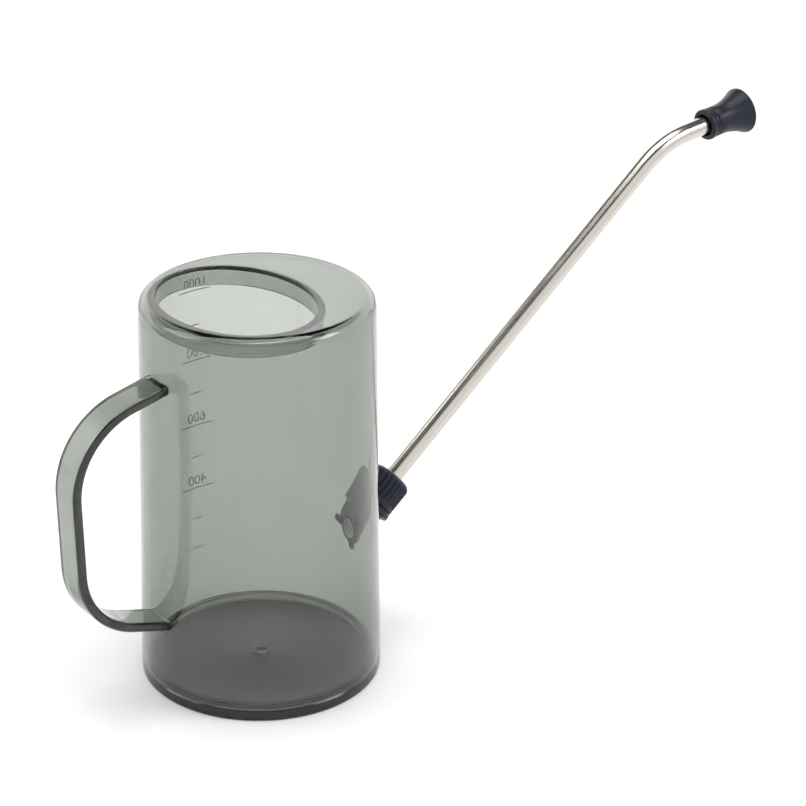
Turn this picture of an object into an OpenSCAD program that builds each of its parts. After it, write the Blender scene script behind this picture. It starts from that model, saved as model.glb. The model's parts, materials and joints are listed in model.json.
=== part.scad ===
// One-litre watering can: clear round vessel, oval fill opening, strap handle, long bent steel spout.
// Millimetres, +Z up. Origin: centre of the underside of the base. Spout towards +X, handle towards -X.

/* [Vessel] */
// Outside diameter at the floor
base_d = 100; // [90:1:110]
// Outside diameter at the top of the wall (moulding draft)
top_d = 94.4; // [92:0.2:98]
// Height from the floor to the flat top
can_h = 166.6; // [150:0.2:180]
// Wall thickness
wall_t = 2.3; // [1.8:0.1:2.6]
// Radius of the shoulder between wall and top
shoulder_r = 4.8; // [3:0.1:6]
// Thickness of the flat top
top_t = 2.4; // [1.8:0.1:3]

/* [Fill opening] */
// Offset of the opening's centre towards the handle
fill_back = 10; // [6:0.5:11]
// Half length of the oval opening, front to back
fill_half_x = 29.4; // [24:0.2:30]
// Half width of the oval opening, side to side
fill_half_y = 36.9; // [30:0.1:37.5]
// Depth of the splash skirt below the top
skirt_depth = 8.5; // [5:0.5:12]
// Thickness of the splash skirt
skirt_t = 2.4; // [2:0.4:2.4]

/* [Base] */
// Thickness of the base disc
base_t = 4; // [3:0.1:5]
// Height of the base rim that shows outside
rim_h = 4.8; // [4.2:0.1:6]
// Radial width of the plug ring that locates the wall
plug_t = 3.2; // [2:0.1:4]
// Height of the plug ring's top above the floor
plug_top = 6.6; // [6:0.1:8]
// Diameter of the moulding gate boss on the inside floor
gate_d = 6.5; // [5:0.5:8]

/* [Handle] */
// Width of the strap
strap_w = 15; // [12:0.5:18]
// Thickness of the strap
strap_t = 3.9; // [3:0.1:5]
// Height of the strap's centre line where the top arm leaves the wall
strap_top_z = 140; // [134:0.5:144]
// Fall of the top arm towards the grip, in degrees
top_arm_angle = 13; // [8:1:16]
// Length of the straight top arm
top_arm_l = 17.3; // [14:0.1:20]
// Centre-line radius of the top bend
top_bend_r = 34; // [30:0.5:36]
// Lean of the grip, in degrees
grip_lean = 1.7; // [0:0.1:3]
// Length of the straight grip
grip_l = 32.5; // [28:0.5:34]
// Centre-line radius of the bottom bend
low_bend_r = 31.6; // [28:0.1:33]
// Fall of the bottom arm towards the wall, in degrees
low_arm_angle = 16.4; // [12:0.2:18]

/* [Spout line] */
// Height at which the spout's axis meets the outside of the wall
port_z = 50; // [48:0.5:54]
// Rise of the spout, in degrees above horizontal
spout_angle = 39.3; // [38:0.1:41]
// Rise of the tip, in degrees above horizontal
tip_angle = 6.8; // [4:0.1:12]
// Distance from the wall to the corner of the bend, along the axis
corner_s = 213.1; // [190:0.1:225]
// Centre-line radius of the bend
bend_r = 47; // [40:0.5:50]
// Outside diameter of the steel tube
tube_d = 8; // [8:0.1:8]
// Wall thickness of the steel tube
tube_t = 0.5; // [0.4:0.1:0.8]
// Distance from the wall to the tube's lower end, along the axis
tube_start = 4.6; // [4.4:0.1:5]

/* [Spout coupling] */
// Outside diameter of the threaded socket
socket_d = 11; // [11:0.1:11]
// Distance from the wall to the socket's top, along the axis
socket_top = 20; // [19:0.5:20.5]
// Thread pitch
pitch = 1.5; // [1.5:0.1:1.5]
// Depth of the thread
thread_h = 0.45; // [0.3:0.05:0.5]
// Radius of the socket's neck, which passes through the wall
neck_r = 4.2; // [4.1:0.1:4.6]
// Outside radius of the retainer's ring inside the wall
retainer_r = 4.7; // [4.6:0.1:5.2]
// Number of ears on the retainer
ears = 3; // [2:1:4]
// Reach of the ears from the middle of the mouth
ear_reach = 9.3; // [8:0.1:11]
// Width of an ear
ear_w = 3.4; // [3:0.1:4]
// Thickness of the retainer
retainer_t = 0.6; // [0.4:0.1:1]
// Thickness of the rubber gasket outside the wall
gasket_t = 0.8; // [0.6:0.1:1]
// Outside radius of the seat ring's disc
seat_r = 9.7; // [9.2:0.1:9.8]
// Thickness of the seat ring's disc
seat_t = 3; // [2.8:0.1:3.2]
// Radius of the seat ring's neck
seat_neck_r = 7.5; // [7:0.1:7.8]
// Outside radius of the coupling nut over its ridges
nut_r = 9.5; // [9.4:0.1:9.8]
// Height of the coupling nut
nut_h = 14.3; // [14:0.1:14.6]
// Distance from the wall to the bottom of the nut, along the axis
nut_s = 10.7; // [10.7:0.1:11]
// Number of grip ridges
ridges = 24; // [20:1:32]
// Depth of the grooves between the ridges
groove_depth = 0.55; // [0.4:0.05:0.6]
// Height of the plain band under the grooves
nut_band = 2; // [1:0.1:3]

/* [Nozzle] */
// Length of tip tube between the bend and the nozzle
tip_gap = 10.7; // [8:0.1:14]
// Length of the nozzle
nozzle_l = 23.3; // [23.3:0.1:23.3]
// Outside radius of the nozzle's collar
collar_r = 6.9; // [6.8:0.1:7.1]
// Length of the nozzle's collar
collar_l = 4.4; // [4:0.1:5]
// Distance from the nozzle's back to the start of its flare
flare_start = 8.4; // [8:0.1:9]
// Outside radius of the nozzle's waist
waist_r = 6.6; // [6.4:0.1:6.7]
// Outside radius of the nozzle's mouth
mouth_r = 11.1; // [10.8:0.1:11.4]
// Radius of the rounded front edge
front_round = 3.9; // [3.5:0.1:4.2]
// Radius of one water hole in the rose plate
rose_hole_r = 0.6; // [0.5:0.05:0.7]

/* [Scale] */
// Volume marked by the lowest short line, in millilitres
first_mark = 200; // [200:100:200]
// Volume marked by the top line, in millilitres
last_mark = 1000; // [800:200:1000]
// Angle that a long line spans on the wall, in degrees
long_mark_angle = 19; // [16:1:22]
// Angle that a short line spans on the wall, in degrees
short_mark_angle = 6.2; // [4:0.2:8]
// Height of a scale line
mark_w = 0.5; // [0.4:0.05:0.7]
// Thickness of a scale line above the wall
mark_t = 0.2; // [0.15:0.05:0.3]

/* [Hidden] */
$fn = 96;
e = 0.02;                       // contact gap between separate solids that touch
run = 0.05;                     // radial running clearance
wall_gap = 0.06;                // gap between the round wall and the solids that bear on it
first_ear = 17;                 // angle of the first ear above the +Y direction
stop_r = 3.55;                  // bore under the shoulder that stops the tube
bush_bore_r = 3;                // bore of the liner in the mouth
free = 0.35;                    // clearance between parts that turn past each other
base_r = base_d / 2;
top_r = top_d / 2;
draft = (base_r - top_r) / can_h;
tube_r = tube_d / 2;
tube_bore_r = tube_r - tube_t;
socket_r = socket_d / 2;
turn = spout_angle - tip_angle;
bend_s = corner_s - bend_r * tan(turn / 2);
port_x = wall_r(port_z);
mouth_z = port_z - (wall_t + retainer_t) * tan(spout_angle);
seat_top = nut_s - run;
seat_low = seat_top - seat_t;
nut_top = nut_s + nut_h;
nut_roof = 2;
washer_t = 0.8;
washer_low = nut_top - nut_roof - washer_t - run;
seal_r = socket_r;
bend_lap = 0.4;                 // lap of the straight runs over the bend
bend_thin = 0.01;               // thinning of the tube's wall in the bend, each face
tube_tip_t = 10.8;              // how far the tube reaches into the nozzle
shelf_t = 1.3;                  // thickness of the shelf that the tube's end rests on
shell_t = 2;                    // wall of the nozzle's collar
rose_r = 8.3;
rose_edge_t = 1.2;
rose_low = nozzle_l - 2;
floor_z = base_t;

// Outside radius of the wall at height z
function wall_r(z) = base_r - draft * z;
// Inside radius of the wall at height z
function bore_r(z) = wall_r(z) - wall_t;
// Volume in millilitres up to height z, as a slice of a cone
function volume(z) = let (a = bore_r(floor_z), b = bore_r(z))
    PI * (z - floor_z) * (a * a + a * b + b * b) / 3000;
// Height at which the vessel holds v millilitres, by bisection
function level(v, low = 0, high = 200, n = 24) = n == 0 ? (low + high) / 2
    : let (mid = (low + high) / 2) volume(mid) < v ? level(v, mid, high, n - 1) : level(v, low, mid, n - 1);
// Points on an arc about [cx, cy] from angle a0 to a1
function arc(cx, cy, r, a0, a1, n = 10) = [for (i = [0:n]) let (a = a0 + (a1 - a0) * i / n)
    [cx + r * cos(a), cy + r * sin(a)]];
// Points of the oval fill opening, grown by g
function oval(g = 0, n = 96) = [for (i = [0:n - 1]) [-fill_back + (fill_half_x + g) * cos(360 * i / n),
    (fill_half_y + g) * sin(360 * i / n)]];
// Outside radius of the nozzle at t along it
function flare(t) = let (w = max(0, (t - flare_start) / (nozzle_l - flare_start)),
    f = max(0, (t - nozzle_l + front_round) / front_round))
    min(waist_r + (mouth_r - waist_r) * pow(w, 1.9), mouth_r - front_round * (1 - sqrt(max(0, 1 - f * f))));

// Solid of the vessel's outside, grown by g, between two heights
module wall_cone(g, z0, z1) {
    translate([0, 0, z0]) cylinder(r1 = wall_r(z0) + g, r2 = wall_r(z1) + g, h = z1 - z0);
}
// Puts +Z on the spout's axis with its zero on the outside of the wall
module on_spout() { translate([port_x, 0, port_z]) rotate([0, 90 - spout_angle, 0]) children(); }
// Puts +Z on the tip's axis with its zero at the end of the bend, seen from the start of the bend
module past_bend() { translate([bend_r, 0, 0]) rotate([0, turn, 0]) translate([-bend_r, 0, 0]) children(); }
// Puts +Z on the tip's axis with its zero at the back of the nozzle
module on_nozzle() {
    on_spout() translate([0, 0, bend_s]) past_bend() translate([0, 0, tip_gap]) children();
}
// Straight round sleeve between s0 and s1
module sleeve(r_out, r_in, s0, s1) {
    translate([0, 0, s0]) difference() {
        cylinder(r = r_out, h = s1 - s0);
        translate([0, 0, -1]) cylinder(r = r_in, h = s1 - s0 + 2);
    }
}

// Clear vessel: drafted wall, rounded shoulder, flat top and splash skirt round the fill opening
module can_body() {
    color([0.55, 0.58, 0.54, 0.45]) difference() {
        union() {
            rotate_extrude() polygon(concat(
                [[bore_r(rim_h), rim_h + e], [wall_r(rim_h), rim_h + e]],
                arc(wall_r(can_h) - shoulder_r, can_h - shoulder_r, shoulder_r, 0, 90),
                [[0, can_h], [0, can_h - top_t]],
                arc(wall_r(can_h) - shoulder_r, can_h - shoulder_r, shoulder_r - top_t, 90, 0)));
            translate([0, 0, can_h - skirt_depth]) linear_extrude(skirt_depth - top_t / 2)
                polygon(oval(skirt_t));
        }
        translate([0, 0, can_h - skirt_depth - 1]) linear_extrude(skirt_depth + 2) polygon(oval());
        on_spout() translate([0, 0, -12]) cylinder(r = neck_r + 0.1, h = 24);
    }
}

// Base disc bonded under the wall, with a plug ring and the gate boss
module base_disc() {
    plug_r = bore_r(rim_h) - run;
    color([0.42, 0.44, 0.41, 0.6]) union() {
        rotate_extrude() polygon([[0, 0], [base_r - 0.6, 0], [base_r, 0.6], [wall_r(rim_h), rim_h],
            [plug_r, rim_h], [plug_r - 0.1, plug_top], [plug_r - plug_t, plug_top],
            [plug_r - plug_t, base_t], [0, base_t]]);
        translate([0, 0, base_t - 1]) cylinder(d = gate_d, h = 1.4);
    }
}

// Strap outline, edge at side * strap_t / 2 from the centre line, from the top arm to the bottom arm
function strap_edge(side) = let (
    h = side * strap_t / 2,
    a0 = 180 + top_arm_angle, a1 = 270 + grip_lean, a2 = 360 - low_arm_angle,
    p0 = [-46, strap_top_z],
    p1 = p0 + top_arm_l * [cos(a0), sin(a0)],
    c1 = p1 + top_bend_r * [-sin(a0), cos(a0)],
    p2 = c1 + top_bend_r * [sin(a1), -cos(a1)],
    p3 = p2 + grip_l * [cos(a1), sin(a1)],
    c2 = p3 + low_bend_r * [-sin(a1), cos(a1)],
    p4 = c2 + low_bend_r * [sin(a2), -cos(a2)],
    p5 = p4 + (-46 - p4[0]) / cos(a2) * [cos(a2), sin(a2)])
    concat([p0 + h * [sin(a0), -cos(a0)]], arc(c1[0], c1[1], top_bend_r + h, a0 - 90, a1 - 90, 16),
        arc(c2[0], c2[1], low_bend_r + h, a1 - 90, a2 - 90, 16), [p5 + h * [sin(a2), -cos(a2)]]);
function reversed(list) = [for (i = [len(list) - 1:-1:0]) list[i]];

// Strap handle bonded to the wall at both ends
module handle() {
    color([0.5, 0.52, 0.49, 0.5]) difference() {
        translate([0, strap_w / 2, 0]) rotate([90, 0, 0]) linear_extrude(strap_w)
            polygon(concat(strap_edge(1), reversed(strap_edge(-1))));
        wall_cone(e, 5, can_h);
    }
}

// One scale line on the wall at height z
module scale_line(z, span) {
    intersection() {
        difference() {
            wall_cone(mark_t, z - mark_w / 2, z + mark_w / 2);
            wall_cone(e, z - mark_w, z + mark_w);
        }
        rotate([0, 0, 90]) linear_extrude(can_h)
            polygon([[0, 0], for (a = [-span / 2, span / 2]) 80 * [cos(a), sin(a)]]);
    }
}
// Volume scale on the side: long lines at each even hundred from 400, short lines between
module scale_marks() {
    color([0.3, 0.32, 0.3]) for (v = [first_mark:100:last_mark])
        scale_line(level(v), v % 200 == 0 && v > first_mark ? long_mark_angle : short_mark_angle);
}

// Threaded socket outside the wall, with a neck through it and a shoulder that stops the tube
module spout_socket() {
    color([0.09, 0.09, 0.11]) difference() {
        union() {
            difference() {
                on_spout() {
                    cylinder(r = socket_r - thread_h, h = socket_top);
                    translate([0, 0, -8]) cylinder(r = socket_r, h = 8 + seat_low);
                    for (s = [seat_low + pitch:pitch:socket_top - pitch]) translate([0, 0, s])
                        cylinder(r1 = socket_r, r2 = socket_r - thread_h, h = pitch * 0.6);
                }
                wall_cone(wall_gap, port_z - 25, port_z + 25);
            }
            difference() {
                on_spout() translate([0, 0, -10]) cylinder(r = neck_r, h = 12);
                wall_cone(-wall_t - retainer_t, port_z - 25, port_z + 25);
            }
        }
        on_spout() {
            translate([0, 0, -16]) cylinder(r = stop_r, h = 60);
            translate([0, 0, tube_start - e]) cylinder(r = tube_r + run, h = 60);
        }
    }
}

// Retainer: thin ring with ears, pushed onto the neck inside the wall
module retainer() {
    color([0.11, 0.11, 0.13]) difference() {
        intersection() {
            union() {
                on_spout() translate([0, 0, -14]) cylinder(r = retainer_r, h = 14);
                for (k = [0:ears - 1]) translate([0, 0, mouth_z]) rotate([first_ear + 360 * k / ears, 0, 0])
                    translate([port_x - 20, 0, -ear_w / 2]) cube([20, ear_reach, ear_w]);
            }
            difference() {
                wall_cone(-wall_t - wall_gap, port_z - 25, port_z + 25);
                wall_cone(-wall_t - retainer_t, port_z - 26, port_z + 26);
            }
        }
        on_spout() translate([0, 0, -16]) cylinder(r = neck_r + wall_gap, h = 30);
    }
}

// Pale liner in the mouth of the socket, under the shoulder
module outlet_bush() {
    color([0.82, 0.83, 0.8]) difference() {
        on_spout() sleeve(stop_r - run, bush_bore_r, -9, tube_start - run);
        wall_cone(-wall_t - retainer_t, port_z - 25, port_z + 25);
    }
}

// Rubber gasket between the wall and the seat ring
module wall_gasket() {
    color([0.12, 0.12, 0.12]) difference() {
        intersection() {
            wall_cone(gasket_t, port_z - 20, port_z + 20);
            on_spout() sleeve(seat_neck_r, socket_r + e, -12, 12);
        }
        wall_cone(e, port_z - 21, port_z + 21);
    }
}

// Wedge-shaped seat ring between the gasket and the nut
module seat_ring() {
    color([0.1, 0.1, 0.12]) difference() {
        on_spout() {
            sleeve(seat_neck_r, socket_r + e, -12, seat_low + 1);
            sleeve(seat_r, socket_r + e, seat_low, seat_top);
        }
        wall_cone(gasket_t + e, port_z - 30, port_z + 30);
    }
}

// Rubber ring that the nut presses round the tube
module spout_seal() {
    color([0.14, 0.14, 0.14]) on_spout() sleeve(seal_r, tube_r + run, socket_top + run, washer_low - run);
}

// Hard washer between the seal and the nut's roof
module slip_washer() {
    color([0.75, 0.75, 0.72]) on_spout() sleeve(seal_r, tube_r + free, washer_low, washer_low + washer_t);
}

// Knurled coupling nut with a rounded shoulder
module coupling_nut() {
    dome_r = 3.2;
    color([0.08, 0.08, 0.1]) on_spout() difference() {
        translate([0, 0, nut_s]) rotate_extrude() polygon(concat([[0, 0], [nut_r - 0.5, 0], [nut_r, 0.5]],
            arc(nut_r - dome_r, nut_h - dome_r, dome_r, 0, 90), [[0, nut_h]]));
        for (k = [0:ridges - 1]) rotate([0, 0, 360 * k / ridges])
            translate([nut_r + 0.1, 0, nut_s + nut_band])
                cylinder(r = groove_depth + 0.1, h = nut_h, $fn = 16);
        translate([0, 0, nut_s - 1]) cylinder(r = socket_r + free, h = nut_h - nut_roof + 1);
        translate([0, 0, nut_s]) cylinder(r = tube_r + free, h = nut_h + 1);
    }
}

// Bent stainless-steel tube: the two straight runs lap over the ends of the bend
module spout_tube() {
    color([0.78, 0.75, 0.7]) on_spout() translate([0, 0, bend_s]) union() {
        sleeve(tube_r, tube_bore_r, tube_start - bend_s, bend_lap);
        translate([bend_r, 0, 0]) rotate([90, 0, 0]) rotate([0, 0, 180 - turn])
            rotate_extrude(angle = turn) translate([bend_r, 0]) difference() {
                circle(r = tube_r - bend_thin);
                circle(r = tube_bore_r + bend_thin);
            }
        past_bend() sleeve(tube_r, tube_bore_r, -bend_lap, tip_gap + tube_tip_t);
    }
}

// Rubber sleeve that grips the tip of the tube inside the nozzle
module nozzle_seal() {
    color([0.14, 0.14, 0.14]) on_nozzle() sleeve(collar_r - shell_t - free, tube_r + run, 3, 9);
}

// Trumpet-shaped nozzle shell with a shelf that stops on the end of the tube
module nozzle_shell() {
    socket_bore = collar_r - shell_t;
    shelf = tube_tip_t + e;
    ring_r = collar_r - 0.2;
    shell_l = rose_low + rose_edge_t;
    color([0.08, 0.09, 0.12]) on_nozzle() rotate_extrude() polygon(concat(
        [[socket_bore, 0], [collar_r - 0.7, 0], [collar_r, 0.8]],
        [[collar_r, collar_l - 1.7], [ring_r, collar_l - 1.5], [ring_r, collar_l - 0.2], [waist_r, collar_l]],
        [for (i = [0:28]) let (t = flare_start + (shell_l - flare_start) * i / 28) [flare(t), t]],
        [[rose_r + e, shell_l], [rose_r + e, rose_low - e], [rose_r - 0.8, rose_low - e],
        [tube_bore_r + 0.8, shelf + shelf_t], [tube_bore_r, shelf + shelf_t], [tube_bore_r, shelf],
        [socket_bore, shelf]]));
}

// Domed rose plate with rings of water holes
module rose_plate() {
    ring_r = [0, 2.6, 5.2];
    dome_h = nozzle_l - rose_low;
    sphere_r = (rose_r * rose_r + pow(dome_h - rose_edge_t, 2)) / (2 * (dome_h - rose_edge_t));
    color([0.07, 0.07, 0.09]) on_nozzle() translate([0, 0, rose_low]) difference() {
        rotate_extrude() polygon(concat([[0, 0], [rose_r, 0]],
            [for (i = [0:8]) let (x = rose_r * (8 - i) / 8)
            [x, dome_h - sphere_r + sqrt(sphere_r * sphere_r - x * x)]]));
        for (ring = [0:2], k = [0:max(0, 6 * ring - 1)]) rotate([0, 0, 60 * k / max(1, ring)])
            translate([ring_r[ring], 0, -1]) cylinder(r = rose_hole_r, h = 5, $fn = 24);
    }
}

can_body();
base_disc();
handle();
scale_marks();
spout_socket();
retainer();
outlet_bush();
wall_gasket();
seat_ring();
spout_seal();
slip_washer();
coupling_nut();
spout_tube();
nozzle_seal();
nozzle_shell();
rose_plate();
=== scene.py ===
import json
import math

import bmesh
import bpy
from mathutils import Matrix, Vector


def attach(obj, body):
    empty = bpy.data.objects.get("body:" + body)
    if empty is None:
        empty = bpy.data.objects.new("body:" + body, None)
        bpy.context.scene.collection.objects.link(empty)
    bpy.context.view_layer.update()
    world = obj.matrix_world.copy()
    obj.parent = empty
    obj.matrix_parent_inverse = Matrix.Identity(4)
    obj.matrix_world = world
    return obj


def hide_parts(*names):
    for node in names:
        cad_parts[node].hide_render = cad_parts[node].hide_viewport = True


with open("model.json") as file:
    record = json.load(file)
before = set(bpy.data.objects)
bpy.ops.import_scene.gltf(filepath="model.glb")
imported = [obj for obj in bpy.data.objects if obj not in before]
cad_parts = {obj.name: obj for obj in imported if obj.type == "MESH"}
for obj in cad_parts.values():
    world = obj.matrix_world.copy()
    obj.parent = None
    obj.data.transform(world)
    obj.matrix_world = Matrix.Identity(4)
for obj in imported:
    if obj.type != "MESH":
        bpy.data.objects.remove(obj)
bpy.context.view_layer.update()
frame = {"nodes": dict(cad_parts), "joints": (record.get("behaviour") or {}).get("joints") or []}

MM = 0.001

# ---------------------------------------------------------------- dimensions, in millimetres
CAN_H = 166.6           # height of the flat top
BASE_R = 50.0           # outside radius at the floor
FACET = 0.005           # how far the CAD's facets stay inside its round base
TOP_R = 47.2            # outside radius at the top
WALL_T = 2.3            # wall
TOP_T = 2.4             # flat top
SHOULDER_R = 4.8        # rounding between wall and top
RIM_H = 4.8             # height of the base rim
GAP = 0.02              # gap between pieces that touch
FILL_BACK = 10.0        # the oval opening's centre, behind the axis
FILL_X, FILL_Y = 29.4, 36.9
LIP_R = 0.45            # rounded edge of the opening
SKIRT_DEPTH = 8.5
SKIRT_T = 2.4
SKIRT_EDGE = 0.5        # rounding under the skirt
BASE_T = 4.0
PLUG_TOP = 6.6
PLUG_T = 3.2
GATE_R = 3.25
STRAP_W = 15.0
STRAP_T = 3.9
STRAP_EDGE = 1.3        # rounding of the strap's edges
BEND_R = 47.0
TUBE_R = 4.0
TUBE_T = 0.5
TUBE_START = 4.6
TUBE_IN_NOZZLE = 10.8
SOCKET_R = 5.5
SOCKET_TOP = 20.0
PITCH = 1.5
THREAD_H = 0.45
NECK_R = 4.2            # socket's neck through the wall
STOP_R = 3.55           # bore under the shoulder that stops the tube
WALL_GAP = 0.06         # gap between the round wall and what bears on it
RETAINER_R = 4.7
RETAINER_T = 0.6
EARS = 3
FIRST_EAR = 17.0        # degrees above +Y
EAR_REACH = 9.3
EAR_W = 3.4
GASKET_T = 0.8
SEAT_R = 9.7
SEAT_T = 3.0
SEAT_NECK_R = 7.5
NUT_S = 10.7
NUT_H = 14.3
NUT_R = 9.5
NUT_ROOF = 2.0
NUT_BAND = 2.0          # plain band under the grooves
NUT_DOME = 3.2          # rounding of the nut's shoulder
RIDGES = 24
GROOVE = 0.6
RUN = 0.05              # running clearance
FREE = 0.35             # clearance between pieces that turn past each other
COLLAR_R = 6.9
COLLAR_L = 4.4
FLARE_START = 8.4
FLARE_STATIONS = 28     # points along the flare, as many as the CAD has
WAIST_R = 6.6
MOUTH_R = 11.1
FRONT_ROUND = 3.9
NOZZLE_L = 23.3
SHELL_T = 2.0
ROSE_R = 8.3
ROSE_LOW = 21.3
ROSE_EDGE_T = 1.2
MARK_W = 0.34
LONG_MARK, SHORT_MARK = 19.0, 6.2
DRAFT = (BASE_R - TOP_R) / CAN_H
WALL_LOW = RIM_H + GAP


def wall_r(z):
    """Outside radius of the wall at height z."""
    return BASE_R - DRAFT * z


def bore_r(z):
    """Inside radius of the wall at height z."""
    return wall_r(z) - WALL_T


# ---------------------------------------------------------------- frames on the spout, from the CAD joints
def joint(name):
    return next(j for j in frame["joints"] if j["name"] == name)


def axis_frame(name):
    """Millimetre frame on a joint's axis: local Z along it, local Y along the row's Y."""
    z = Vector(joint(name)["axis"]).normalized()
    y = Vector((0, 1, 0))
    m = Matrix((y.cross(z), y, z)).transposed().to_4x4()
    m.translation = Vector(joint(name)["pos_m"]) / MM
    return m


SPOUT = axis_frame("spout_swivel")
NOZZLE = axis_frame("nozzle_turn")
IDENTITY = Matrix.Identity(4)


# ---------------------------------------------------------------- mesh helpers
def finish_mesh(name, verts, faces, uvs, sharp=35):
    """Makes an object in metres from millimetre points, smooth but for edges over the sharp angle."""
    mesh = bpy.data.meshes.new(name)
    mesh.from_pydata([tuple(v * MM) for v in verts], [], faces)
    layer = mesh.uv_layers.new(name="UVMap")
    for loop, uv in zip(layer.data, (uv for face in uvs for uv in face)):
        loop.uv = uv
    bm = bmesh.new()
    bm.from_mesh(mesh)
    bmesh.ops.recalc_face_normals(bm, faces=bm.faces)
    bm.to_mesh(mesh)
    bm.free()
    mesh.polygons.foreach_set("use_smooth", [True] * len(mesh.polygons))
    mesh.set_sharp_from_angle(angle=math.radians(sharp))
    obj = bpy.data.objects.new(name, mesh)
    bpy.context.scene.collection.objects.link(obj)
    return obj


def grid(name, rings, matrix=IDENTITY, closed=True, sharp=35):
    """Skin over rings of points. A ring of one point is a pole. closed joins the last ring to the first."""
    verts, starts = [], []
    for ring in rings:
        starts.append(len(verts))
        verts += [matrix @ Vector(p) for p in ring]
    n = max(len(r) for r in rings)
    lengths = [0.0]
    for a, b in zip(rings, rings[1:] + rings[:1]):
        lengths.append(lengths[-1] + (Vector(a[0]) - Vector(b[0])).length)
    round_l = max(sum((Vector(r[i]) - Vector(r[i - 1])).length for i in range(len(r))) for r in rings)
    faces, uvs = [], []
    for k in range(len(rings) if closed else len(rings) - 1):
        a, b = k, (k + 1) % len(rings)
        va, vb = lengths[k], lengths[k + 1]
        for i in range(n):
            j = (i + 1) % n
            u0, u1 = round_l * i / n, round_l * (i + 1) / n
            if len(rings[a]) == 1:
                faces.append((starts[a], starts[b] + i, starts[b] + j))
                uvs.append(((u0, va), (u0, vb), (u1, vb)))
            elif len(rings[b]) == 1:
                faces.append((starts[a] + i, starts[b], starts[a] + j))
                uvs.append(((u0, va), (u0, vb), (u1, va)))
            else:
                faces.append((starts[a] + i, starts[b] + i, starts[b] + j, starts[a] + j))
                uvs.append(((u0, va), (u0, vb), (u1, vb), (u1, va)))
    return finish_mesh(name, verts, faces, uvs, sharp)


def lathe(name, profile, matrix=IDENTITY, n=96, closed=True, sharp=35):
    """Turned piece from (radius, height) pairs, closed on itself unless it starts and ends at a pole."""
    angles = [2 * math.pi * i / n for i in range(n)]
    rings = []
    for r, z in profile:
        if r == 0:
            rings.append([(0, 0, z)])
        else:
            rings.append([(r * math.cos(a), r * math.sin(a), z) for a in angles])
    return grid(name, rings, matrix, closed, sharp)


def arc(cx, cy, r, a0, a1, n=8):
    """Points about (cx, cy) from angle a0 to a1, in degrees."""
    return [(cx + r * math.cos(math.radians(a0 + (a1 - a0) * i / n)),
             cy + r * math.sin(math.radians(a0 + (a1 - a0) * i / n))) for i in range(n + 1)]


# A cutter is turned a little about its axis, so that none of its corners lies on an edge of what it cuts.
CUTTER_TURN = Matrix.Rotation(math.radians(1.37), 4, "Z")


def boolean(obj, other, operation):
    """Applies a boolean with other and removes it."""
    mod = obj.modifiers.new("cut", "BOOLEAN")
    mod.object, mod.operation, mod.solver = other, operation, "EXACT"
    evaluated = obj.evaluated_get(bpy.context.evaluated_depsgraph_get())
    mesh = bpy.data.meshes.new_from_object(evaluated)
    obj.modifiers.clear()
    obj.data = mesh
    bpy.data.objects.remove(other)
    return obj


def smooth(obj, sharp=35):
    obj.data.polygons.foreach_set("use_smooth", [True] * len(obj.data.polygons))
    obj.data.set_sharp_from_angle(angle=math.radians(sharp))
    return obj


def onto_cone(point, direction, inset):
    """Slides a point along a direction onto the wall's cone, inset millimetres inside its outside."""
    p = Vector(point)
    for _ in range(12):
        miss = math.hypot(p.x, p.y) - (wall_r(p.z) - inset)
        slope = (p.x * direction.x + p.y * direction.y) / math.hypot(p.x, p.y) + DRAFT * direction.z
        p -= direction * (miss / slope)
    return p


# ---------------------------------------------------------------- materials
def material(name, build, **sockets):
    """Principled material. build(nodes, links, shader) adds its procedural part."""
    mat = bpy.data.materials.new(name)
    mat.use_nodes = True
    nodes, links = mat.node_tree.nodes, mat.node_tree.links
    shader = next(n for n in nodes if n.type == "BSDF_PRINCIPLED")
    for socket, value in sockets.items():
        shader.inputs[socket.replace("_", " ")].default_value = value
    build(nodes, links, shader)
    return mat


def node(nodes, kind, **values):
    """A node with properties (lower-case names) and sockets (names as shown, underscores for spaces) set."""
    made = nodes.new(kind)
    for key, value in values.items():
        if key[0].islower():
            setattr(made, key, value)
        else:
            made.inputs[key.replace("_", " ")].default_value = value
    return made


def noise_on(nodes, links, scale, detail=3, stretch=(1, 1, 1), source="Object"):
    """Noise texture on object coordinates, or on UVs, stretched along axes."""
    coords = node(nodes, "ShaderNodeTexCoord")
    mapping = node(nodes, "ShaderNodeMapping")
    mapping.inputs["Scale"].default_value = stretch
    texture = node(nodes, "ShaderNodeTexNoise", Scale=scale, Detail=detail)
    links.new(coords.outputs[source], mapping.inputs["Vector"])
    links.new(mapping.outputs["Vector"], texture.inputs["Vector"])
    return texture.outputs["Fac"]


def ranged(nodes, links, source, low, high, start=0.3, stop=0.7):
    """Maps noise from start..stop to low..high."""
    remap = node(nodes, "ShaderNodeMapRange", From_Min=start, From_Max=stop, To_Min=low, To_Max=high)
    links.new(source, remap.inputs["Value"])
    return remap.outputs["Result"]


def ramp(nodes, links, source, low, high):
    """Colour ramp between two colours."""
    made = node(nodes, "ShaderNodeValToRGB")
    made.color_ramp.elements[0].color = (*low, 1)
    made.color_ramp.elements[1].color = (*high, 1)
    links.new(source, made.inputs["Fac"])
    return made.outputs["Color"]


def bump(nodes, links, source, shader, strength, distance):
    made = node(nodes, "ShaderNodeBump", Strength=strength, Distance=distance)
    links.new(source, made.inputs["Height"])
    links.new(made.outputs["Normal"], shader.inputs["Normal"])


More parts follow.
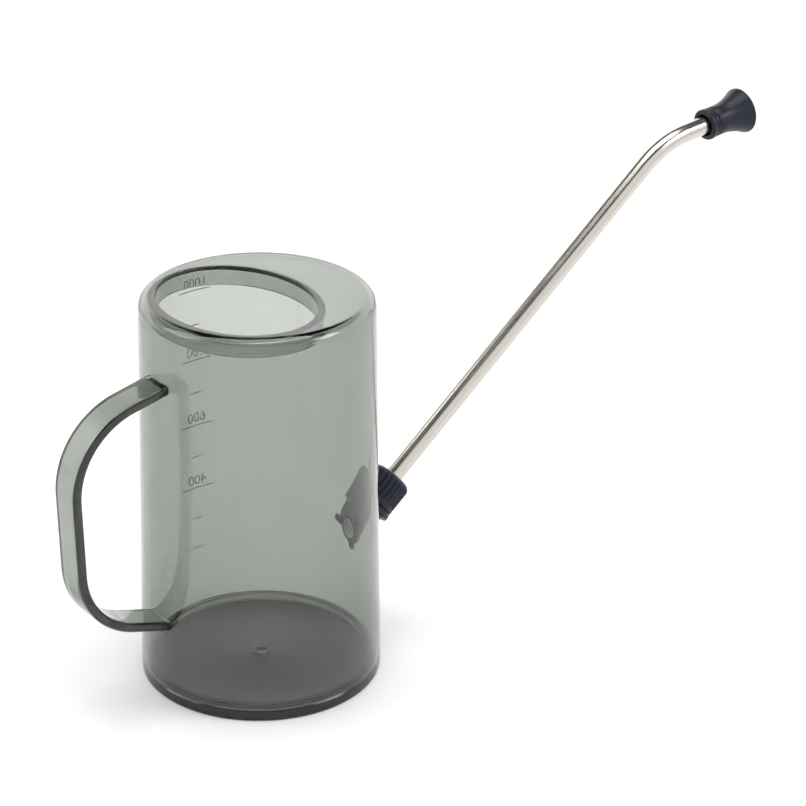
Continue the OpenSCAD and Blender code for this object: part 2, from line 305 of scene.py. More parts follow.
def clear_plastic(name, tint, density):
    """Smoky clear plastic: tint is what the plastic lets through, density how fast it darkens per metre."""
    def build(nodes, links, shader):
        mottle = noise_on(nodes, links, 60, 2)
        links.new(ranged(nodes, links, mottle, 0.002, 0.012), shader.inputs["Roughness"])
        links.new(ramp(nodes, links, mottle, (0.97, 0.975, 0.965), (1, 1, 1)), shader.inputs["Base Color"])
        body = node(nodes, "ShaderNodeVolumeAbsorption", Density=density)
        body.inputs["Color"].default_value = (*tint, 1)
        links.new(body.outputs["Volume"], nodes["Material Output"].inputs["Volume"])
    return material(name, build, Transmission_Weight=1.0, IOR=1.57)


def satin_plastic(name, dark, light, rough=(0.32, 0.46), grain=900, level=0.5):
    """Moulded satin plastic with a fine grain and slightly uneven sheen."""
    def build(nodes, links, shader):
        cloud = noise_on(nodes, links, 90, 4)
        links.new(ramp(nodes, links, cloud, dark, light), shader.inputs["Base Color"])
        links.new(ranged(nodes, links, cloud, *rough), shader.inputs["Roughness"])
        bump(nodes, links, noise_on(nodes, links, grain, 2), shader, 0.12, 0.0001)
    return material(name, build, IOR=1.5, Specular_IOR_Level=level)


def rubber(name, dark, light):
    """Matt rubber with a dusty, pitted skin."""
    def build(nodes, links, shader):
        cloud = noise_on(nodes, links, 250, 5)
        links.new(ramp(nodes, links, cloud, dark, light), shader.inputs["Base Color"])
        links.new(ranged(nodes, links, cloud, 0.6, 0.8), shader.inputs["Roughness"])
        bump(nodes, links, cloud, shader, 0.15, 0.0001)
    return material(name, build, IOR=1.45)


def drawn_steel(name):
    """Stainless tube with a fine drawn finish along its length."""
    def build(nodes, links, shader):
        streaks = noise_on(nodes, links, 1, 4, (1.6, 0.02, 1), "UV")
        cloud = noise_on(nodes, links, 35, 3)
        colour = ramp(nodes, links, streaks, (0.50, 0.475, 0.43), (0.62, 0.59, 0.545))
        links.new(colour, shader.inputs["Base Color"])
        both = node(nodes, "ShaderNodeMath", operation="ADD")
        links.new(ranged(nodes, links, streaks, 0.12, 0.22), both.inputs[0])
        links.new(ranged(nodes, links, cloud, 0.0, 0.05), both.inputs[1])
        links.new(both.outputs["Value"], shader.inputs["Roughness"])
        bump(nodes, links, streaks, shader, 0.08, 0.00005)
    return material(name, build, Metallic=1.0)


SMOKY = clear_plastic("smoky_clear", (0.502, 0.532, 0.487), 530)
BLACK = satin_plastic("black_plastic", (0.006, 0.007, 0.014), (0.015, 0.017, 0.031), level=0.24)
RUBBER = rubber("black_rubber", (0.010, 0.010, 0.010), (0.022, 0.022, 0.021))
PALE = rubber("pale_silicone", (0.84, 0.85, 0.82), (0.90, 0.91, 0.88))
WASHER = satin_plastic("washer_plastic", (0.60, 0.60, 0.57), (0.70, 0.70, 0.67))
INK = satin_plastic("scale_ink", (0.09, 0.10, 0.09), (0.16, 0.17, 0.16), (0.5, 0.6))
STEEL = drawn_steel("stainless")


def place(obj, body, slot, mat, *nodes):
    """Puts a piece on its body, with its material, in place of the CAD nodes. slot is not used."""
    obj.data.materials.clear()
    obj.data.materials.append(mat)
    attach(obj, body)
    if nodes:
        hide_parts(*nodes)
    return obj


# ---------------------------------------------------------------- vessel
def circle_ring(r, z, n):
    return [(r * math.cos(2 * math.pi * i / n), r * math.sin(2 * math.pi * i / n), z) for i in range(n)]


def oval_reach(grow, angle):
    """Distance from the can's axis to the oval opening, grown, in a direction."""
    a, b = FILL_X + grow, FILL_Y + grow
    c, d = math.cos(angle), math.sin(angle)
    square = (c / a) ** 2 + (d / b) ** 2
    linear = c * FILL_BACK / a ** 2
    return (-linear + math.sqrt(linear ** 2 - square * ((FILL_BACK / a) ** 2 - 1))) / square


def make_can_body():
    n = 288
    chamfer = 0.25
    fillet = 0.6
    steps = 72
    inner_r = SHOULDER_R - TOP_T
    shoulder_z = CAN_H - SHOULDER_R
    flat_r = wall_r(CAN_H) - SHOULDER_R
    top_in = CAN_H - TOP_T

    def polar_ring(radius, height):
        """Ring with a radius and a height given per direction."""
        ring = []
        for i in range(n):
            a = 2 * math.pi * i / n
            r = radius(a)
            ring.append((r * math.cos(a), r * math.sin(a), height(r)))
        return ring

    def oval(grow, z):
        return polar_ring(lambda a: oval_reach(grow, a), lambda r: z)

    def ceiling(r):
        """Height of the inside of the top at radius r."""
        return shoulder_z + math.sqrt(max(0.0, inner_r ** 2 - max(0.0, r - flat_r) ** 2))

    def skirt_foot(a):
        """Where the skirt's fillet meets the ceiling."""
        return oval_reach(SKIRT_T + fillet, a)

    rings = [circle_ring(wall_r(WALL_LOW) - chamfer, WALL_LOW, n)]
    for k in range(steps + 1):
        z = WALL_LOW + chamfer + (shoulder_z - WALL_LOW - chamfer) * k / steps
        rings.append(circle_ring(wall_r(z), z, n))
    rings += [circle_ring(r, z, n) for r, z in arc(flat_r, shoulder_z, SHOULDER_R, 0, 90, 14)[1:]]
    for k in range(1, 7):
        rings.append(polar_ring(lambda a: flat_r + (oval_reach(LIP_R, a) - flat_r) * k / 6, lambda r: CAN_H))
    rings += [oval(g, z) for g, z in arc(LIP_R, CAN_H - LIP_R, LIP_R, 90, 180, 6)[1:]]
    low = CAN_H - SKIRT_DEPTH
    rings += [oval(0, CAN_H - LIP_R + (low + SKIRT_EDGE - CAN_H + LIP_R) * k / 6) for k in range(1, 6)]
    rings += [oval(g, z) for g, z in arc(SKIRT_EDGE, low + SKIRT_EDGE, SKIRT_EDGE, 180, 270, 5)]
    rings += [oval(g, z) for g, z in arc(SKIRT_T - SKIRT_EDGE, low + SKIRT_EDGE, SKIRT_EDGE, 270, 360, 5)]
    for k in range(1, 5):
        z = low + SKIRT_EDGE + (top_in - fillet - 0.5 - low - SKIRT_EDGE) * k / 5
        rings.append(oval(SKIRT_T, z))
    for g, z in arc(SKIRT_T + fillet, top_in - fillet, fillet, 180, 90, 5):
        rings.append(polar_ring(lambda a: oval_reach(g, a), lambda r: ceiling(r) - (top_in - z)))
    for k in range(1, 7):
        rings.append(polar_ring(lambda a: max(skirt_foot(a) + (flat_r - skirt_foot(a)) * k / 6,
                                              skirt_foot(a) + 0.02 * k), ceiling))
    for k, (r, z) in enumerate(arc(flat_r, shoulder_z, inner_r, 90, 0, 12)[1:-1]):
        rings.append(polar_ring(lambda a: max(r, skirt_foot(a) + 0.12 + 0.03 * k), ceiling))
    for k in range(steps + 1):
        z = shoulder_z + (WALL_LOW + chamfer - shoulder_z) * k / steps
        rings.append(circle_ring(bore_r(z), z, n))
    rings.append(circle_ring(bore_r(WALL_LOW) + chamfer, WALL_LOW, n))
    can = grid("can_wall", rings)
    drill = lathe("drill", [(0, -12), (NECK_R + 0.1, -12), (NECK_R + 0.1, 12), (0, 12)],
                  SPOUT @ CUTTER_TURN, 64, False)
    return smooth(boolean(can, drill, "DIFFERENCE"))


def make_base():
    plug_r = bore_r(RIM_H) - RUN
    inner = plug_r - PLUG_T
    corner = 0.9
    edge_r = BASE_R - FACET - corner
    profile = [(0, 0), (20, 0), (edge_r, 0)] + arc(edge_r, corner, corner, -90, 0, 6)[1:]
    profile += [(wall_r(RIM_H - 0.3), RIM_H - 0.3), (wall_r(RIM_H) - 0.3, RIM_H), (plug_r + 0.2, RIM_H)]
    profile += [(plug_r, RIM_H + 0.2), (plug_r, PLUG_TOP - 0.5)]
    profile += arc(plug_r - 0.5, PLUG_TOP - 0.5, 0.5, 0, 90, 5)[1:]
    profile += arc(inner + 0.8, PLUG_TOP - 0.8, 0.8, 90, 180, 6)
    profile += arc(inner - 0.7, BASE_T + 0.7, 0.7, 0, -90, 6)
    profile += [(30, BASE_T), (GATE_R + 1.2, BASE_T), (GATE_R + 0.2, BASE_T + 0.1)]
    profile += [(GATE_R - 0.2, BASE_T + 0.4), (GATE_R - 0.7, BASE_T + 0.4)]
    profile += [(GATE_R - 1.1, BASE_T + 0.15), (0, BASE_T + 0.1)]
    return lathe("base_plate", profile, IDENTITY, 192, False)


# ---------------------------------------------------------------- handle
def strap_path():
    """Centre line of the strap in the XZ plane: (x, z, heading in degrees), from top arm to bottom arm."""
    top_arm, top_r, lean, grip, low_r, low_fall = 17.3, 34.0, 1.7, 32.5, 31.6, 16.4
    heading = 180 + 13.0
    x, z = -46.0, 140.0
    points = []

    def straight(length, count):
        nonlocal x, z
        dx, dz = math.cos(math.radians(heading)), math.sin(math.radians(heading))
        for k in range(count):
            points.append((x + dx * length * k / count, z + dz * length * k / count, heading))
        x, z = x + dx * length, z + dz * length

    def bend(radius, to, count=22):
        nonlocal x, z, heading
        cx = x - radius * math.sin(math.radians(heading))
        cz = z + radius * math.cos(math.radians(heading))
        for k in range(count):
            degrees = heading + (to - heading) * k / count
            a = math.radians(degrees)
            points.append((cx + radius * math.sin(a), cz - radius * math.cos(a), degrees))
        heading = to
        x, z = cx + radius * math.sin(math.radians(to)), cz - radius * math.cos(math.radians(to))

    straight(top_arm, 8)
    bend(top_r, 270 + lean)
    straight(grip, 12)
    bend(low_r, 360 - low_fall)
    straight((-46.0 - x) / math.cos(math.radians(heading)), 10)
    points.append((x, z, heading))
    return points


def strap_section():
    """Rounded rectangle of the strap: (across, along the thickness)."""
    w, t, r = STRAP_W / 2, STRAP_T / 2, STRAP_EDGE
    flat = 6
    corners = ((w - r, t - r, 0), (-w + r, t - r, 90), (-w + r, -t + r, 180), (w - r, -t + r, 270))
    points = []
    for k, (cx, cy, a) in enumerate(corners):
        points += arc(cx, cy, r, a, a + 90, 6)
        nx, ny, _ = corners[(k + 1) % 4]
        start = Vector(points[-1])
        side = {0: Vector((nx, t)), 1: Vector((-w, ny)), 2: Vector((nx, -t)), 3: Vector((w, ny))}[k]
        count = flat if k % 2 == 0 else 2
        points += [tuple(start.lerp(side, i / count)) for i in range(1, count)]
    return points


def make_handle():
    section = strap_section()
    path = strap_path()
    rings = []
    for x, z, heading in path:
        side = Vector((math.sin(math.radians(heading)), 0, -math.cos(math.radians(heading))))
        along = Vector((math.cos(math.radians(heading)), 0, math.sin(math.radians(heading))))
        ring = [Vector((x, 0, z)) + Vector((0, across, 0)) + side * out for across, out in section]
        rings.append((ring, along))
    keep = []
    for ring, along in rings:
        if min(math.hypot(p.x, p.y) - wall_r(p.z) for p in ring) > 0.6:
            keep.append(ring)
    first, last = rings[0][1], rings[-1][1]
    top = [onto_cone(p, first, -GAP) for p in keep[0]]
    low = [onto_cone(p, last, -GAP) for p in keep[-1]]
    centre_top = onto_cone(sum(top, Vector()) / len(top), first, -GAP)
    centre_low = onto_cone(sum(low, Vector()) / len(low), last, -GAP)
    caps = []
    for ring, centre in ((top, centre_top), (low, centre_low)):
        caps.append([[onto_cone(centre.lerp(p, t), first if ring is top else last, -GAP) for p in ring]
                     for t in (0.35, 0.7)])
    rings = [[centre_top], *caps[0], top, *keep, low, *reversed(caps[1]), [centre_low]]
    return grid("handle_strap", rings, IDENTITY, False)


# ---------------------------------------------------------------- volume scale
def volume(z):
    a, b = bore_r(BASE_T), bore_r(z)
    return math.pi * (z - BASE_T) * (a * a + a * b + b * b) / 3000


def level(millilitres):
    low, high = 0.0, CAN_H
    for _ in range(30):
        mid = (low + high) / 2
        low, high = (mid, high) if volume(mid) < millilitres else (low, mid)
    return low


def wrapped(flat, z0, lift):
    """Maps flat print (x to the reader's right, y up, both mm) onto the +Y side of the wall."""
    z = z0 + flat[1]
    r = wall_r(z) + lift
    a = math.pi / 2 + flat[0] / r
    return Vector((r * math.cos(a), r * math.sin(a), z))


def make_scale():
    """Lines and numerals of the volume scale, as a print a tenth of a millimetre thick."""
    low, high = 0.03, 0.13
    pieces = []
    for millilitres in range(200, 1001, 100):
        major = millilitres % 200 == 0 and millilitres > 200
        span = math.radians(LONG_MARK if major else SHORT_MARK) * wall_r(level(millilitres))
        z0 = level(millilitres)
        count = 16
        rings = []
        for k in range(count + 1):
            x = -span / 2 + span * k / count
            rings.append([wrapped((x, MARK_W / 2), z0, low), wrapped((x, MARK_W / 2), z0, high),
                          wrapped((x, -MARK_W / 2), z0, high), wrapped((x, -MARK_W / 2), z0, low)])
        for end in (0, -1):
            middle = sum(rings[end], Vector()) / 4
            rings.insert(0 if end == 0 else len(rings), [middle])
        pieces.append(grid(f"line_{millilitres}", rings, IDENTITY, False))
        if major:
            pieces.append(make_numeral(str(millilitres), z0 + 1.5, low, high))
    bpy.ops.object.select_all(action="DESELECT")
    for piece in pieces:
        piece.select_set(True)
    bpy.context.view_layer.objects.active = pieces[0]
    bpy.ops.object.join()
    pieces[0].name = "scale_print"
    return pieces[0]


def make_numeral(text, z0, low, high):
    """A number in plain digits, thickened and wrapped on the wall."""
    curve = bpy.data.curves.new("numeral", "FONT")
    curve.body = text
    curve.size = 6.4
    curve.offset = -0.07
    curve.align_x = "CENTER"
    curve.resolution_u = 6
    curve.extrude = 0.5
    made = bpy.data.objects.new("numeral", curve)
    bpy.context.scene.collection.objects.link(made)
    bpy.context.view_layer.update()
    mesh = bpy.data.meshes.new_from_object(made.evaluated_get(bpy.context.evaluated_depsgraph_get()))
    bpy.data.objects.remove(made)
    for v in mesh.vertices:
        v.co = wrapped((v.co.x, v.co.y), z0, high if v.co.z > 0 else low) * MM
    obj = bpy.data.objects.new("numeral_" + text, mesh)
    bpy.context.scene.collection.objects.link(obj)
    return obj


# ---------------------------------------------------------------- spout coupling
def along_spout(r, s, angle):
    return SPOUT @ Vector((r * math.cos(angle), r * math.sin(angle), s))


def spout_axis():
    return SPOUT.to_3x3() @ Vector((0, 0, 1))


def turns(n):
    return [2 * math.pi * i / n for i in range(n)]


def at_wall(r, inset, n):
    """Ring of radius r round the spout, lying on the wall's cone."""
    return [onto_cone(along_spout(r, 0, a), spout_axis(), inset) for a in turns(n)]


def make_socket():
    """Socket with a helical thread, its neck through the wall and the shoulder that stops the tube."""
    n = 72
    bore = TUBE_R + RUN
    seat_low = NUT_S - RUN - SEAT_T
    stop = TUBE_START - GAP
    mouth = WALL_T + RETAINER_T

    def thread(s, angle):
        """Radius of the thread's flank at s, faded at both of its ends."""
        phase = (s / PITCH - angle / (2 * math.pi)) % 1
        wave = 1 - min(1, max(0, abs(phase - 0.5) * 2 - 0.15) / 0.7)
        fade = min(1, max(0, (s - seat_low) / 0.8)) * min(1, max(0, (SOCKET_TOP - 0.5 - s) / 0.8))
        return SOCKET_R - THREAD_H * (1 - wave * fade) if s > seat_low else SOCKET_R

    def level_ring(r, s):
        return [along_spout(r, s, a) for a in turns(n)]

    rings = [at_wall(STOP_R, mouth - 0.1, n), at_wall(STOP_R + 0.1, mouth, n),
             at_wall(NECK_R - 0.15, mouth, n), at_wall(NECK_R, mouth - 0.15, n),
             at_wall(NECK_R, 0.5, n), at_wall(NECK_R, -WALL_GAP, n),
             at_wall(SOCKET_R - 0.15, -WALL_GAP, n), at_wall(SOCKET_R, -WALL_GAP - 0.15, n),
             level_ring(SOCKET_R, seat_low - 0.3)]
    steps = int((SOCKET_TOP - 0.3 - seat_low) / PITCH * 12)
    for k in range(steps + 1):
        s = seat_low + (SOCKET_TOP - 0.3 - seat_low) * k / steps
        rings.append([along_spout(thread(s, a), s, a) for a in turns(n)])
    rings += [level_ring(SOCKET_R - THREAD_H - 0.3, SOCKET_TOP), level_ring(bore + 0.2, SOCKET_TOP),
              level_ring(bore, SOCKET_TOP - 0.2), level_ring(bore, stop), level_ring(STOP_R, stop)]
    return grid("socket", rings, IDENTITY, True, 50)


def make_retainer():
    """Thin ring with three rounded ears, pushed on the neck against the inside of the wall."""
    n = 288
    low, high = WALL_T + WALL_GAP, WALL_T + RETAINER_T
    mouth_z = SPOUT.translation.z - high * math.tan(math.asin(spout_axis().z))
    outline = []
    for p in at_wall(RETAINER_R, high, n):
        y, z = p.y, p.z - mouth_z
        here, reach = math.atan2(z, y), math.hypot(y, z)
        for k in range(EARS):
            off = here - math.radians(FIRST_EAR + 360 * k / EARS)
            if math.cos(off) > 0:
                across, out = abs(math.sin(off)) / (EAR_W / 2), math.cos(off) / EAR_REACH
                reach = max(reach, (across ** 7 + out ** 7) ** (-1 / 7))
        outline.append((reach * math.cos(here), reach * math.sin(here)))

    def plate(grow, inset):
        """The outline, scaled, on the round inside of the wall."""
        ring = []
        for y, z in outline:
            wide = wall_r(mouth_z + z * grow) - inset
            ring.append(Vector((math.sqrt(wide * wide - y * y * grow * grow), y * grow, mouth_z + z * grow)))
        return ring

    rings = [at_wall(NECK_R + WALL_GAP, low, n), plate(0.985, low), plate(1, low + 0.1),
             plate(1, high - 0.15), plate(0.975, high), at_wall(NECK_R + WALL_GAP, high, n)]
    return grid("retainer_ring", rings)


def make_seat():
    """Seat ring: a saddle face against the gasket, and a disc with shallow notches under the nut."""
    n = 144
    top = NUT_S - RUN
    low = top - SEAT_T
    inset = -(GASKET_T + GAP)
    bore = SOCKET_R + GAP

    def ring(r, s, lift, notch=0.0):
        """Ring at s, pushed out where the wall is in its way. lift keeps rings apart there."""
        points = []
        for a, wall in zip(turns(n), at_wall(r, inset, n)):
            height = (wall - SPOUT.translation).dot(spout_axis()) + lift
            points.append(along_spout(r - notch * max(0, math.cos(6 * a)) ** 6, max(s, height), a))
        return points

    rings = [at_wall(bore, inset, n), at_wall(SEAT_NECK_R - 0.3, inset, n),
             ring(SEAT_NECK_R, -20, 0.3), ring(SEAT_NECK_R, low - 0.4, 0.4),
             ring(SEAT_NECK_R + 0.4, low, 0.2), ring(SEAT_R - 0.35, low, 0.0),
             ring(SEAT_R, low + 0.35, 0.2, 0.5), ring(SEAT_R, top - 0.8, 0.3, 0.5),
             ring(SEAT_R - 0.3, top - 0.4, 0.4, 0.3), ring(SEAT_R - 1.0, top - 0.35, 0.4),
             ring(SEAT_R - 1.3, top, 0.4), ring(bore, top, 0)]
    return grid("seat_collar", rings)


def make_nut():
    """Knurled nut: straight grooves that run out on its rounded shoulder."""
    per = 16
    n = RIDGES * per
    bore, hole = SOCKET_R + FREE, TUBE_R + FREE
    roof = NUT_H - NUT_ROOF
    profile = [(NUT_R - 0.5, 0, 0), (NUT_R - 0.12, 0.15, 0), (NUT_R, 0.5, 0), (NUT_R, NUT_BAND - 0.05, 0)]
    profile += [(NUT_R, NUT_BAND + 0.12, 0.5), (NUT_R, NUT_BAND + 0.35, 0.9)]
    straight_top = NUT_H - NUT_DOME
    profile += [(NUT_R, NUT_BAND + 0.7 + (straight_top - NUT_BAND - 0.7) * k / 8, 1) for k in range(9)]
    profile += [(r, s, 1) for r, s in arc(NUT_R - NUT_DOME, straight_top, NUT_DOME, 0, 90, 18)[1:]]
    profile += [(hole + 0.3, NUT_H, 0), (hole, NUT_H - 0.3, 0), (hole, roof, 0)]
    profile += [(bore, roof, 0), (bore, 0.5, 0), (bore + 0.5, 0, 0)]
    rings = []
    for r, s, depth in profile:
        ring = []
        for i in range(n):
            a = 2 * math.pi * i / n
            groove = (0.5 + 0.5 * math.cos(2 * math.pi * (i % per) / per)) ** 0.8
            here = min(r, NUT_R - GROOVE * depth * groove)
            ring.append((here * math.cos(a), here * math.sin(a), NUT_S + s))
        rings.append(ring)
    return grid("nut", rings, SPOUT, True, 50)


# ---------------------------------------------------------------- tube and nozzle
def tube_path():
    """(centre, direction) along the tube: straight run, bend, tip."""
    p, a = SPOUT.translation, SPOUT.to_3x3() @ Vector((0, 0, 1))
    q, b = NOZZLE.translation, NOZZLE.to_3x3() @ Vector((0, 0, 1))
    away = q - p
    cross = a.x * b.z - a.z * b.x
    corner_s = (away.x * b.z - away.z * b.x) / cross
    turn = a.angle(b)
    bend_s = corner_s - BEND_R * math.tan(turn / 2)
    down = SPOUT.to_3x3() @ Vector((1, 0, 0))
    centre = p + bend_s * a + BEND_R * down
    stations = [(p + (TUBE_START + (bend_s - TUBE_START) * k / 40) * a, a) for k in range(40)]
    for k in range(28):
        t = turn * k / 28
        stations.append((centre - BEND_R * math.cos(t) * down + BEND_R * math.sin(t) * a,
                         math.cos(t) * a + math.sin(t) * down))
    end = q + TUBE_IN_NOZZLE * b
    start = p + corner_s * a + BEND_R * math.tan(turn / 2) * b
    stations += [(start.lerp(end, k / 8), b) for k in range(9)]
    return stations


def make_tube():
    n = 72
    stations = tube_path()
    y = Vector((0, 1, 0))

    def ring(station, r, slide=0.0):
        centre, along = station
        side = y.cross(along)
        angles = [2 * math.pi * i / n for i in range(n)]
        return [centre + slide * along + r * (math.cos(a) * side + math.sin(a) * y) for a in angles]

    inner = TUBE_R - TUBE_T
    edge = 0.12
    rings = [ring(stations[0], TUBE_R - edge), ring(stations[0], TUBE_R, edge)]
    rings += [ring(s, TUBE_R) for s in stations[1:-1]]
    rings += [ring(stations[-1], TUBE_R, -edge), ring(stations[-1], TUBE_R - edge)]
    rings += [ring(stations[-1], inner + edge), ring(stations[-1], inner, -edge)]
    rings += [ring(s, inner) for s in reversed(stations[1:-1])]
    rings += [ring(stations[0], inner, edge), ring(stations[0], inner + edge)]
    return grid("spout_pipe", rings)


def flare(t):
    """Outside radius of the nozzle at t along it."""
    w = max(0.0, (t - FLARE_START) / (NOZZLE_L - FLARE_START))
    f = max(0.0, (t - NOZZLE_L + FRONT_ROUND) / FRONT_ROUND)
    horn = WAIST_R + (MOUTH_R - WAIST_R) * w ** 1.9
    front = MOUTH_R - FRONT_ROUND * (1 - math.sqrt(max(0, 1 - f * f)))
    return min(horn, front)


def make_nozzle():
    bore = COLLAR_R - SHELL_T
    shelf = TUBE_IN_NOZZLE + GAP
    low = TUBE_R - TUBE_T
    end = ROSE_LOW + ROSE_EDGE_T
    profile = [(bore + 0.25, 0), (COLLAR_R - 0.9, 0)] + arc(COLLAR_R - 0.9, 0.9, 0.9, -90, 0, 6)[1:]
    ring_r = COLLAR_R - 0.2
    profile += [(COLLAR_R, COLLAR_L - 2.2), (COLLAR_R - 0.15, COLLAR_L - 1.95)]
    profile += [(ring_r - 0.35, COLLAR_L - 1.85), (ring_r - 0.35, COLLAR_L - 1.65)]
    profile += [(ring_r - 0.05, COLLAR_L - 1.5), (ring_r, COLLAR_L - 1.3)]
    profile += [(ring_r, COLLAR_L - 0.5), (ring_r - 0.1, COLLAR_L - 0.3)]
    profile += [(WAIST_R - 0.45, COLLAR_L - 0.25), (WAIST_R - 0.45, COLLAR_L + 0.05)]
    profile += [(WAIST_R - 0.1, COLLAR_L + 0.15), (WAIST_R, COLLAR_L + 0.35)]
    for k in range(FLARE_STATIONS + 1):
        t = FLARE_START + (end - FLARE_START) * k / FLARE_STATIONS
        profile.append((flare(t), t))
    profile += [(ROSE_R + 0.3, end + 0.05), (ROSE_R + GAP, end - 0.1), (ROSE_R + GAP, ROSE_LOW - GAP),
                (ROSE_R - 0.8, ROSE_LOW - GAP)]
    profile += [(ROSE_R - 0.8 + (low + 1.2 - ROSE_R + 0.8) * k / 6,
                 ROSE_LOW + (shelf + 1.3 - ROSE_LOW) * k / 6) for k in range(1, 7)]
    profile += [(low, shelf + 1.3), (low, shelf), (bore, shelf), (bore, 0.25)]
    return lathe("nozzle_horn", profile, NOZZLE, 128, True, 32)


def make_rose():
    """Domed plate with one middle hole and two rings of water holes."""
    hole_r = 0.6
    ring_step = 2.6
    dome = NOZZLE_L - ROSE_LOW
    ball = (ROSE_R ** 2 + (dome - ROSE_EDGE_T) ** 2) / (2 * (dome - ROSE_EDGE_T))
    profile = [(0, ROSE_LOW), (ROSE_R, ROSE_LOW)]
    for k in range(12):
        r = (ROSE_R - 0.15) * (12 - k) / 12
        profile.append((r, ROSE_LOW + dome - ball + math.sqrt(ball * ball - r * r)))
    profile.append((0, NOZZLE_L))
    plate = lathe("rose", profile, NOZZLE, 96, False)
    for ring in range(3):
        for k in range(max(1, 6 * ring)):
            a = 2 * math.pi * k / max(1, 6 * ring)
            out = ring_step * ring
            at = NOZZLE @ Matrix.Translation((out * math.cos(a), out * math.sin(a), 0))
            low, high = ROSE_LOW - 1, NOZZLE_L + 1
            pin = lathe("pin", [(0, low), (hole_r, low), (hole_r, high), (0, high)],
                        at @ CUTTER_TURN, 24, False)
            boolean(plate, pin, "DIFFERENCE")
    return smooth(plate)


# ---------------------------------------------------------------- assembly
place(make_can_body(), "can", "smoky_clear", SMOKY, "can_body")
place(make_base(), "can", "smoky_clear", SMOKY, "base_disc")
place(make_handle(), "can", "smoky_clear", SMOKY, "handle")
place(make_scale(), "can", "scale_ink", INK, "scale_marks")
place(make_socket(), "can", "black_plastic", BLACK, "spout_socket")
place(make_retainer(), "can", "black_plastic", BLACK, "retainer")
place(make_seat(), "can", "black_plastic", BLACK, "seat_ring")
place(make_nut(), "nut", "black_plastic", BLACK, "coupling_nut")
place(make_tube(), "tube", "stainless", STEEL, "spout_tube")
place(make_nozzle(), "nozzle", "black_plastic", BLACK, "nozzle_shell")
place(make_rose(), "nozzle", "black_plastic", BLACK, "rose_plate")

HIDDEN = (("outlet_bush", PALE), ("wall_gasket", RUBBER), ("spout_seal", RUBBER),
          ("nozzle_seal", RUBBER), ("slip_washer", WASHER))
for name, mat in HIDDEN:
    cad = frame["nodes"][name]
    for slot in cad.material_slots:
        slot.material = mat

# ---------------------------------------------------------------- floor, light and camera
BACKDROP = 1.85         # radiance of the white paper behind the object
ROOM = 1.15             # radiance of the walls on the camera's side
DARK = 0.08             # radiance of the unlit ceiling
PANEL = 26              # power of the overhead panel
KEY = 6                 # power of each softbox


def make_floor():
    def build(nodes, links, shader):
        cloud = noise_on(nodes, links, 3, 3)
        colour = ramp(nodes, links, cloud, (0.90, 0.90, 0.90), (0.93, 0.93, 0.93))
        links.new(colour, shader.inputs["Base Color"])
        links.new(ranged(nodes, links, cloud, 0.7, 0.8), shader.inputs["Roughness"])
    paper = material("paper", build, Specular_IOR_Level=0.1)
    half = 3.0
    mesh = bpy.data.meshes.new("floor")
    corners = [(-half, -half, 0), (half, -half, 0), (half, half, 0), (-half, half, 0)]
    mesh.from_pydata(corners, [], [(0, 1, 2, 3)])
    mesh.materials.append(paper)
    floor = bpy.data.objects.new("floor", mesh)
    floor.location.z = -0.00002
    bpy.context.scene.collection.objects.link(floor)


def soft_light(name, place_at, look_at, size, power, colour=(1, 1, 1)):
    lamp = bpy.data.lights.new(name, "AREA")
    lamp.shape = "RECTANGLE"
    lamp.size, lamp.size_y = size
    lamp.energy = power
    lamp.color = colour
    obj = bpy.data.objects.new(name, lamp)
    obj.location = place_at
    obj.rotation_euler = (Vector(look_at) - Vector(place_at)).to_track_quat("-Z", "Y").to_euler()
    bpy.context.scene.collection.objects.link(obj)


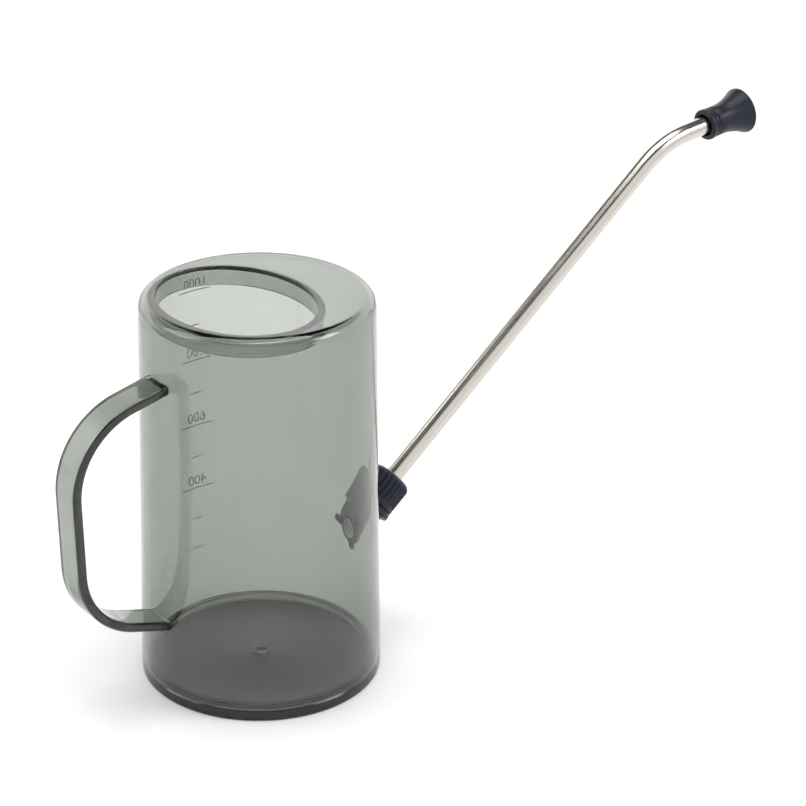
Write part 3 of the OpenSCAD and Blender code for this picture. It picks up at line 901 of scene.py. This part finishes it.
def make_light():
    """White surround up to half height, an unlit ceiling, and a soft overhead panel behind the object."""
    world = bpy.data.worlds.new("studio")
    bpy.context.scene.world = world
    world.use_nodes = True
    nodes, links = world.node_tree.nodes, world.node_tree.links
    background = nodes["Background"]
    direction = node(nodes, "ShaderNodeTexCoord")
    height = node(nodes, "ShaderNodeSeparateXYZ")
    links.new(direction.outputs["Generated"], height.inputs["Vector"])
    behind = node(nodes, "ShaderNodeVectorMath", operation="DOT_PRODUCT")
    links.new(direction.outputs["Generated"], behind.inputs[0])
    behind.inputs[1].default_value = (0.61, 0.79, 0)
    wall = node(nodes, "ShaderNodeMapRange", From_Min=-0.1, From_Max=0.6, To_Min=ROOM, To_Max=BACKDROP)
    links.new(behind.outputs["Value"], wall.inputs["Value"])
    ceiling = node(nodes, "ShaderNodeMapRange", From_Min=0.55, From_Max=0.68, To_Min=0, To_Max=1)
    raised = node(nodes, "ShaderNodeMath", operation="MULTIPLY_ADD")
    links.new(behind.outputs["Value"], raised.inputs[0])
    raised.inputs[1].default_value = 0.09
    links.new(height.outputs["Z"], raised.inputs[2])
    links.new(raised.outputs["Value"], ceiling.inputs["Value"])
    radiance = node(nodes, "ShaderNodeMix", data_type="FLOAT")
    links.new(ceiling.outputs["Result"], radiance.inputs["Factor"])
    links.new(wall.outputs["Result"], radiance.inputs["A"])
    radiance.inputs["B"].default_value = DARK
    links.new(radiance.outputs["Result"], background.inputs["Strength"])
    background.inputs["Color"].default_value = (1, 1, 1, 1)
    soft_light("overhead", (0.15, 0.05, 2.0), (0.1, 0.05, 0), (1.4, 1.4), PANEL)
    soft_light("softbox_left", (-0.92, 0.62, 1.13), (0, 0, 0.1), (0.8, 0.8), KEY)
    soft_light("softbox_right", (0.80, -0.88, 1.04), (0, 0, 0.1), (0.55, 0.55), KEY)


def make_camera():
    """Camera at a bearing, a height angle and a slight roll, looking at a point on the object."""
    bearing, rise, roll = math.radians(-37.61), math.radians(25.365), math.radians(0.777)
    distance, target_z = 1.1, 0.085
    aside, above = 0.058084, 0.031338
    back = Vector((math.sin(bearing) * math.cos(rise), -math.cos(bearing) * math.cos(rise), math.sin(rise)))
    right = Vector((math.cos(bearing), math.sin(bearing), 0))
    up = back.cross(right)
    x = math.cos(roll) * right + math.sin(roll) * up
    y = -math.sin(roll) * right + math.cos(roll) * up
    pose = Matrix((x, y, back)).transposed().to_4x4()
    pose.translation = Vector((0, 0, target_z)) + aside * right + above * up + distance * back
    data = bpy.data.cameras.new("camera")
    data.sensor_width = 36
    data.lens = 120.56
    data.clip_start, data.clip_end = 0.05, 20
    camera = bpy.data.objects.new("camera", data)
    camera.matrix_world = pose
    bpy.context.scene.collection.objects.link(camera)
    bpy.context.scene.camera = camera


make_floor()
make_light()
make_camera()
bpy.context.scene.view_settings.view_transform = "Standard"
